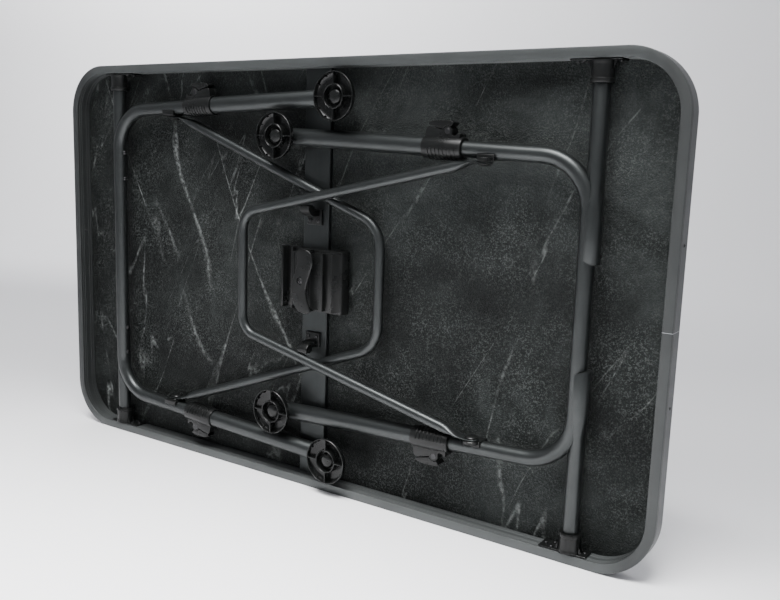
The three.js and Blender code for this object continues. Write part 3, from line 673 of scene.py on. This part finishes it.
# ---- legs ----
def leg_tubes(name, leg):
    made = []
    body = f"{name}_leg"
    verts, faces = tube(leg_path(leg), LEG_Y, TUBE_R)
    made.append(piece(f"{name}_leg_tube", verts, faces, TUBE, body, "tube_aluminium", [f"{name}_leg_frame"]))
    for level, end in (("upper", 1), ("lower", -1)):
        at = f"{name}_{level}"
        near = RIM_FACE + 3.7
        far = MID - leg["stub"]
        m = Matrix.Translation((leg["side"] * leg["pivot"], PIVOT_Y, WIDTH if end > 0 else 0))
        m = m @ Matrix.Diagonal((leg["side"], 1, -end, 1))
        verts, faces = lathe([(0, near), (TUBE_R, near), (TUBE_R, far), (0, far)], 48)
        stub = piece(f"{at}_stub", verts, faces, TUBE, body, "tube_aluminium", [f"{at}_hinge_stub"], m)
        wide = leg["sleeve"]
        if wide > 0:
            flare = [(0, far - 110), (6, far - 110), (8.6, far - 96), (11.6, far - 78), (13.4, far - 66),
                     (wide, far - 56), (wide, far), (0, far)]
            verts, faces = lathe(flare, 48)
            wrap = piece("wrap", verts, faces, TUBE, body, "tube_aluminium", (),
                         m @ Matrix.Translation((2.0, -5.5, 0)))
            cv, cf = box(-3, 40, -40, 40, 0, WIDTH)
            boolean(wrap, piece("cutter", cv, cf, TUBE, body, "tube_aluminium", (), m), "INTERSECT")
            boolean(stub, wrap, "UNION")
        lean = 60 * math.tan(math.radians(24))
        slope = [(-60, far - 4 - lean), (60, far - 4 + lean), (60, far + 80), (-60, far + 80)]
        cv, cf = prism(slope, -60, 60)
        boolean(stub, piece("cutter", cv, cf, TUBE, body, "tube_aluminium", (), m))
        cv, cf = tube(leg_path(leg), LEG_Y, TUBE_R + 0.15)
        boolean(stub, piece("cutter", cv, cf, TUBE, body, "tube_aluminium"))
        made.append(bevel(stub, 0.35, 2, 40.0))
        for i, step in enumerate((11, 60)):
            z = MID + end * (leg["stub"] + step)
            inner = leg["base"] - TUBE_R
            outer = leg["pivot"] + (leg["sleeve"] + 1.7 if leg["sleeve"] > 0 else TUBE_R)
            dome = [(0, inner - 1.7), (1.8, inner - 1.5), (3.4, inner - 0.8), (4.2, inner + 0.2), (2.3, inner + 0.3),
                    (2.3, outer - 0.3), (4.2, outer - 0.2), (3.4, outer + 0.7), (1.8, outer + 1.3), (0, outer + 1.4)]
            verts, faces = lathe(dome, 28, "x")
            m2 = Matrix.Translation((0, RIVET_Y, z)) @ Matrix.Diagonal((leg["side"], 1, 1, 1))
            made.append(piece(f"{at}_rivet_head_{i + 1}", verts, faces, DARK_SCREW, body, "steel_hardware",
                              [f"{at}_rivet_{i + 1}"], m2, 50.0))
    return made


def brace(name, leg):
    """Bent brace tube whose ends are pressed flat round the pins."""
    pin_x, pin_top = brace_pivot(leg, 1)
    pin_half = pin_top - MID
    to_base = -leg["side"]
    base_x = to_base * leg["brace_base"]
    flat, swell = 17.0, 52.0
    slope = (pin_half - leg["brace_half"]) / (abs(base_x - pin_x) - flat)
    start = pin_x + to_base * flat
    middle = rounded_path([(start, MID + pin_half), (base_x, MID + leg["brace_half"]),
                           (base_x, MID - leg["brace_half"]), (start, MID - pin_half)], leg["bend"], 18)

    def tips(end):
        out = []
        for dx, deep in ((-11, 2.0), (-10.4, 4.8), (-8.5, 7.9), (-5.5, 9.9), (-2, 10.9), (4, 11), (12, 11)):
            out.append((pin_x + to_base * dx, MID + end * pin_half, to_base * end, 0.0, 1.6, deep))
        return out

    def neck(end):
        s = middle[0 if end > 0 else -1]
        out = []
        for i in range(1, 9):
            t = i / 8
            ease = t * t * (3 - 2 * t)
            reach = -2 + (swell - flat + 2) * t
            across = 1.6 + (BRACE_R - 1.6) * ease
            deep = 11 + (BRACE_R - 11) * ease
            z = MID + end * (pin_half - slope * max(0.0, reach))
            out.append((start + to_base * reach, z, s[2], s[3], across, deep))
        return out

    path = tips(1) + neck(1) + middle[1:-1] + neck(-1)[::-1] + tips(-1)[::-1]
    verts, faces = tube(path, leg["brace_y"], BRACE_R, 28)
    body = piece(f"{name}_brace_tube", verts, faces, TUBE, f"{name}_brace", "tube_aluminium", [f"{name}_brace"])
    verts, faces = lathe([(0, -400), (3.2, -400), (3.2, 400), (0, 400)], 24)
    hole = Matrix.Translation((pin_x, leg["brace_y"], MID))
    boolean(body, piece("cutter", verts, faces, TUBE, f"{name}_brace", "tube_aluminium", (), hole))
    return [body]


def brace_mounts(name, leg):
    made = []
    body = f"{name}_leg"
    for level, end in (("upper", 1), ("lower", -1)):
        at = f"{name}_{level}"
        x, z = brace_pivot(leg, end)
        m = Matrix.Translation((x, 0, z)) @ Matrix.Diagonal((1, 1, end, 1))
        top = 2.0
        verts, faces = lathe([(0, top), (11.7, top), (12.5, top + 0.8), (12.5, 6.6), (11.6, 7.5), (0, 7.5)], 40)
        pad = piece(f"{at}_bracket_body", verts, faces, BLACK, body, "black_plastic", [f"{at}_brace_bracket"],
                    m @ Matrix.Translation((0, leg["brace_y"], 0)))
        verts, faces = box(-14, 14, LEG_Y - 13.5, LEG_Y + 13.5, top + 1, 12)
        cheek = bevel(piece("cheek", verts, faces, BLACK, body, "black_plastic", (), m), 1.6, 3)
        boolean(pad, cheek, "UNION")
        cv, cf = tube(leg_path(leg), LEG_Y, TUBE_R + 0.15)
        boolean(pad, piece("cutter", cv, cf, BLACK, body, "black_plastic"))
        made.append(pad)
        reach = leg["pin_top"]
        cap = [(0, -5.1), (4.0, -5.0), (7.2, -4.4), (9.2, -3.3), (10, -2.1), (2.9, -2.0), (2.9, reach), (0, reach)]
        verts, faces = lathe(cap, 36)
        made.append(piece(f"{at}_pin_cap", verts, faces, BLACK, body, "black_plastic", [f"{at}_brace_pin"],
                          m @ Matrix.Translation((0, leg["brace_y"], 0)), 45.0))
    return made


# ---- telescoping ends; local x runs to the foot, z away from the table's middle ----
def collar(at, m):
    body = f"{at}_extension"
    verts, faces = ring_lathe([(12.4, -26), (15.4, -26), (16.6, -25.2), (SLEEVE_R, -24), (SLEEVE_R, 38.6),
                               (16.6, 39.6), (15.8, 40), (14.6, 40), (14.6, -16), (12.4, -16)], 48, "x")
    sleeve = piece(f"{at}_collar", verts, faces, BLACK, body, "black_plastic", [f"{at}_clamp_collar"], m)
    side = [(-21, 9), (-21, 20), (-19.4, 22), (-17.2, 22), (-15.9, 19.6), (-14.5, 18.0), (-8.0, 18.0), (-7.4, 21.6)]
    side += arc(0, PIN_OUT, 7.5, 178, 10, 16)
    side += [(8.4, 25.2), (20, 28.0), (31, 29.6), (34.5, 28.4), (36.8, 22), (38, 9)]
    parts = []
    for y0, y1 in ((-9.6, -5.3), (5.3, 9.6)):
        verts, faces = prism(side, y0, y1)
        parts.append(bevel(piece("lug", verts, faces, BLACK, body, "black_plastic", (), m), 0.7, 2, 35.0))
    verts, faces = prism([(-21, 9), (-21, 20), (-19.4, 22), (-17.2, 22), (-15.9, 19.6), (-14.5, 17.4), (-12, 16.2),
                          (9, 16.2), (9.4, 24.6), (20, 27.4), (31, 29.0), (34, 28.0), (36.6, 20), (37, 9)], -5.5, 5.5)
    parts.append(bevel(piece("web", verts, faces, BLACK, body, "black_plastic", (), m), 0.5, 2, 35.0))
    for i in range(8):
        x = -16 + i * 6.4
        ring = []
        for r, h in ((16.7, x - 1.5), (17.9, x - 1.0), (18.2, x), (17.9, x + 1.0), (16.7, x + 1.5)):
            ring.append([(h, r * math.cos(a), r * math.sin(a))
                         for a in [math.radians(184 + 172 * k / 24) for k in range(25)]])
        verts = [p for row in ring for p in row]
        faces = []
        for j in range(4):
            for k in range(24):
                faces.append((j * 25 + k, j * 25 + k + 1, (j + 1) * 25 + k + 1, (j + 1) * 25 + k))
        faces += [tuple(j * 25 for j in range(5)), tuple(j * 25 + 24 for j in range(5))]
        faces += [(j * 25 + k, j * 25 + k + 1, k + 1 + 100, k + 100) for j in (0,) for k in range(24)]
        parts.append(piece("rib", verts, faces, BLACK, body, "black_plastic", (), m))
    join(sleeve, *parts)
    made = [sleeve]
    pin = [(0, -9.2), (4.0, -9.2), (4.4, -8.8), (4.4, -8.2), (2.5, -8.2), (2.5, 8.2), (4.4, 8.2), (4.4, 8.8),
           (4.0, 9.2), (0, 9.2)]
    verts, faces = lathe([(r, 1.09 * h) for r, h in pin], 32, "y")
    made.append(piece(f"{at}_pin", verts, faces, DARK_SCREW, body, "steel_hardware", [f"{at}_clamp_pin"],
                      m @ Matrix.Translation((0, 0, PIN_OUT)), 40.0))
    return made


def cam_lever(at, m):
    """Cam lever: a curved paddle on a forked hub, with finger grooves on its back."""
    shell = [(31.5, 7.8), (32.6, 8.6), (32.6, 10.0), (29.5, 12.6), (25, 13.9), (16, 15.1)]
    shell += arc(0, 0, 15.2, 85, 125, 10) + arc(0, 0, 8.3, 125, 20, 14)
    verts, faces = prism(shell, -9.4, 9.4)
    place = m @ Matrix.Translation((0, 0, PIN_OUT))
    lever = piece(f"{at}_lever", verts, faces, BLACK, f"{at}_clamp", "black_plastic", [f"{at}_clamp_lever"], place)
    cv, cf = box(4, 40, -6.6, 6.6, -2, 11.0)
    boolean(lever, piece("cutter", cv, cf, BLACK, f"{at}_clamp", "black_plastic", (), place))
    bevel(lever, 0.9, 3, 35.0)
    parts = []
    verts, faces = lathe([(0, -4.7), (6.9, -4.7), (6.9, 4.7), (0, 4.7)], 36, "y")
    parts.append(piece("hub", verts, faces, BLACK, f"{at}_clamp", "black_plastic", (), place))
    verts, faces = prism([(5, 3)] + [(12, 5), (13, 12.6)] + arc(0, 0, 14, 84, 122, 6) + [(0, 3)], -4.7, 4.7)
    parts.append(piece("web", verts, faces, BLACK, f"{at}_clamp", "black_plastic", (), place))
    for i in range(4):
        x = 14.5 + 4.2 * i
        verts, faces = lathe([(0, -7.5), (0.9, -7.5), (1.1, -7), (1.1, 7), (0.9, 7.5), (0, 7.5)], 16, "y")
        lift = 15.15 - 0.10 * (x - 14) - 0.006 * (x - 14) ** 2 - 0.75
        parts.append(piece("grip", verts, faces, BLACK, f"{at}_clamp", "black_plastic", (),
                           place @ Matrix.Translation((x, 0, lift))))
    join(lever, *parts)
    return [lever]


def outer_tube(at, m):
    reach = FOOT_REACH - CLAMP_REACH - 22.5
    loop = [(OUTER_R - 1.6, -16), (OUTER_R, -16), (OUTER_R, reach - 1.4), (OUTER_R - 0.25, reach - 0.5),
            (OUTER_R - 0.8, reach), (OUTER_R - 1.6, reach)]
    verts, faces = ring_lathe(loop, 48, "x")
    return [piece(f"{at}_tube", verts, faces, TUBE, f"{at}_extension", "tube_aluminium", [f"{at}_outer_tube"], m)]


def plug(at, m):
    reach = FOOT_REACH - CLAMP_REACH - 22.5
    profile = [(0, -24), (12.2, -24), (12.2, 0.3), (13.8, 0.3), (14.0, 0.8), (14.0, 2.2), (13.2, 3.0), (9, 3.8),
               (6, 5), (4.8, 7), (4.2, 10)] + [(r, h + 22.5) for r, h in arc(0, 0, 10, -65, 90, 20)]
    profile = [(r, h + reach) for r, h in profile]
    verts, faces = lathe(profile, 40, "x")
    return [piece(f"{at}_plug", verts, faces, BLACK, f"{at}_extension", "black_plastic",
                  [f"{at}_ball_plug"], m, 35.0)]


def foot(at, leg, end):
    """Swivelling foot: a spoked dish with a rolled rim, an inner ring and a domed cap."""
    x, z = along_arm(leg, end, FOOT_REACH)
    toward = leg["side"]
    body = f"{at}_swivel_foot"
    m = Matrix.Translation((x, LEG_Y, z))
    dome = [(0.0, -24.6), (4, -24.4), (7.6, -23.6), (10.4, -22.2), (12.2, -20.4), (12.9, -18.4), (13.1, -16.2)]
    profile = dome + [(16.8, -16.2), (17.2, -17), (17.4, -25.8), (17.9, -26.4), (18.7, -26.4), (19.3, -25.8),
                      (19.5, -17.2), (20, -16.4), (30, -16.9), (34.6, -18.2), (35.9, -19.6), (36.3, -25.8),
                      (36.7, -26.4), (37.5, -26.5), (38, -25.9), (37.9, -22), (37, -18.2), (34.6, -15.9), (30, -15.2),
                      (18, -15.0), (15.6, -13.8), (15, -11), (15, 2.5), (14.2, 5.4), (12.6, 7.6), (10, 9), (0, 9)]
    verts, faces = lathe(profile, 64, "y")
    dish = piece(f"{at}_dish", verts, faces, GLOSS, body, "black_plastic", [f"{at}_foot"], m, 34.0)
    slot = (-5.6, 22) if toward > 0 else (-22, 5.6)
    cv, cf = box(slot[0], slot[1], -5.6, 12, -5.6, 5.6)
    boolean(dish, piece("cutter", cv, cf, GLOSS, body, "black_plastic", (), m))
    sphere = [(r, h) for r, h in arc(0, 0, 10.5, -90, 90, 24)]
    cv, cf = lathe(sphere, 40)
    boolean(dish, piece("cutter", cv, cf, GLOSS, body, "black_plastic", (), m))
    parts = []
    for i in range(4):
        spin = Matrix.Rotation(math.radians(90 * i), 4, "Y")
        verts, faces = prism([(18.6, -0.9), (36.6, -0.75), (36.6, 0.75), (18.6, 0.9)], -25.9, -16)
        parts.append(bevel(piece("spoke", verts, faces, GLOSS, body, "black_plastic", (), m @ spin), 0.35, 2))
    for i in range(12):
        if i % 3 == 0:
            continue
        spin = Matrix.Rotation(math.radians(30 * i), 4, "Y")
        verts, faces = prism([(33.8, -0.7), (36.8, -0.7), (36.8, 0.7), (33.8, 0.7)], -24.4, -17.5)
        parts.append(bevel(piece("web", verts, faces, GLOSS, body, "black_plastic", (), m @ spin), 0.3, 1))
    join(dish, *parts)
    return [dish]


# ---- build ----
made = [rim(), *latch(), *latch_lever()]
for node, up in (("storage_clip_upper", 1), ("storage_clip_lower", -1)):
    made += clip(node, up)
for name, leg in LEGS.items():
    made += leg_tubes(name, leg)
    made += brace(name, leg)
    made += brace_mounts(name, leg)
    for level, end in (("upper", 1), ("lower", -1)):
        at = f"{name}_{level}"
        m = arm_matrix(leg, end, CLAMP_REACH)
        made += socket(at, leg, end > 0)
        made += outer_tube(at, m)
        made += collar(at, m)
        made += cam_lever(at, m)
        made += plug(at, m)
        made += foot(at, leg, end)
for i, (x, y, z) in enumerate(((HALF_L - 0.6, 16, 462), (HALF_L - 0.6, 16, 248))):
    made.append(screw(f"rim_rivet_outer_{i + 1}", (x, y, z), (1, 0, 0), 2.4, "tabletop"))
for i, z in enumerate((392, 364)):
    made.append(screw(f"rim_rivet_inner_{i + 1}", (-HALF_L + RIM_FACE, 14, z), (1, 0, 0), 2.4, "tabletop"))
# a seam across the right end of the rim, drawn as a thin strip of bright steel: painted highlight along the seam
verts, faces = box(HALF_L - RIM_FACE - 0.1, HALF_L + 0.05, -0.05, 28, 349.7, 350.3)
made.append(piece("rim_seam_painted_highlight", verts, faces, SEAM_HIGHLIGHT_STEEL, "tabletop", "rim_aluminium"))
for obj in made:
    finish_piece(obj)

for node, mat in (("tabletop_panel", SLATE), ("centre_rail", RAIL)):
    obj = frame["nodes"][node]
    for slot_ in obj.material_slots:
        slot_.material = mat


# ---- room, lights and camera ----
def backdrop():
    """Pale paper: a floor that curves up into a wall behind the table."""
    mat, nodes, links, shader, coords = new_material("paper_backdrop")
    tone = noise(nodes, links, coords, 0.8, 2.0)
    links.new(ramp(nodes, links, tone, [(0.3, (0.92, 0.92, 0.94)), (0.7, (0.94, 0.935, 0.95))]),
              shader.inputs["Base Color"])
    shader.inputs["Roughness"].default_value = 0.9
    profile = [(-6.0, 0.0), (2.4, 0.0)]
    for k in range(1, 17):
        a = math.pi / 2 * k / 16
        profile.append((2.4 + 1.2 * math.sin(a), 1.2 - 1.2 * math.cos(a)))
    profile.append((3.6, 6.0))
    verts = [(x, y, z) for x in (-7.0, 7.0) for y, z in profile]
    n = len(profile)
    faces = [(k, k + 1, n + k + 1, n + k) for k in range(n - 1)]
    mesh = bpy.data.meshes.new("backdrop")
    mesh.from_pydata(verts, [], faces)
    mesh.materials.append(mat)
    for polygon in mesh.polygons:
        polygon.use_smooth = True
    obj = bpy.data.objects.new("backdrop", mesh)
    bpy.context.scene.collection.objects.link(obj)
    obj.rotation_euler = (0, 0, math.radians(20))


def area(name, place, target, size, power, spread=180.0):
    """A rectangular area light aimed at a point; sizes in metres, power in watts, spread in degrees."""
    light = bpy.data.lights.new(name, "AREA")
    light.shape = "RECTANGLE"
    light.size, light.size_y = size
    light.energy = power
    light.spread = math.radians(spread)
    obj = bpy.data.objects.new(name, light)
    bpy.context.scene.collection.objects.link(obj)
    obj.location = place
    obj.rotation_euler = (Vector(target) - Vector(place)).to_track_quat("-Z", "Y").to_euler()


def camera():
    """The photograph's viewpoint."""
    azimuth, pitch, roll = (math.radians(a) for a in CAMERA_TURN)
    forward = Vector((-math.sin(azimuth) * math.cos(pitch), math.cos(azimuth) * math.cos(pitch), math.sin(pitch)))
    right = Vector((math.cos(azimuth), math.sin(azimuth), 0))
    up = right.cross(forward)
    turned_right = right * math.cos(roll) + up * math.sin(roll)
    turned_up = up * math.cos(roll) - right * math.sin(roll)
    data = bpy.data.cameras.new("camera")
    data.lens = CAMERA_LENS
    data.sensor_width = 36.0
    obj = bpy.data.objects.new("camera", data)
    bpy.context.scene.collection.objects.link(obj)
    m = Matrix((turned_right, turned_up, -forward)).transposed().to_4x4()
    m.translation = Vector(CAMERA_PLACE)
    obj.matrix_world = m
    bpy.context.scene.camera = obj


backdrop()
sky = bpy.data.worlds.new("studio")
sky.use_nodes = True
sky.node_tree.nodes["Background"].inputs["Color"].default_value = (0.93, 0.95, 1.0, 1.0)
sky.node_tree.nodes["Background"].inputs["Strength"].default_value = 0.45
bpy.context.scene.world = sky
area("overhead", (0.3, -0.9, 2.3), (0, 0, 0.5), (1.8, 1.0), 62)
area("floor", (0.25, -0.75, 2.2), (0.25, -0.68, 0), (1.6, 0.6), 24, 55.0)
area("right", (2.6, -0.4, 1.8), (0, 0.2, 0.3), (0.8, 1.6), 1.5)
area("wall", (-2.4, 1.0, 2.9), (-3.0, 3.6, 2.7), (1.6, 1.0), 175)
camera()
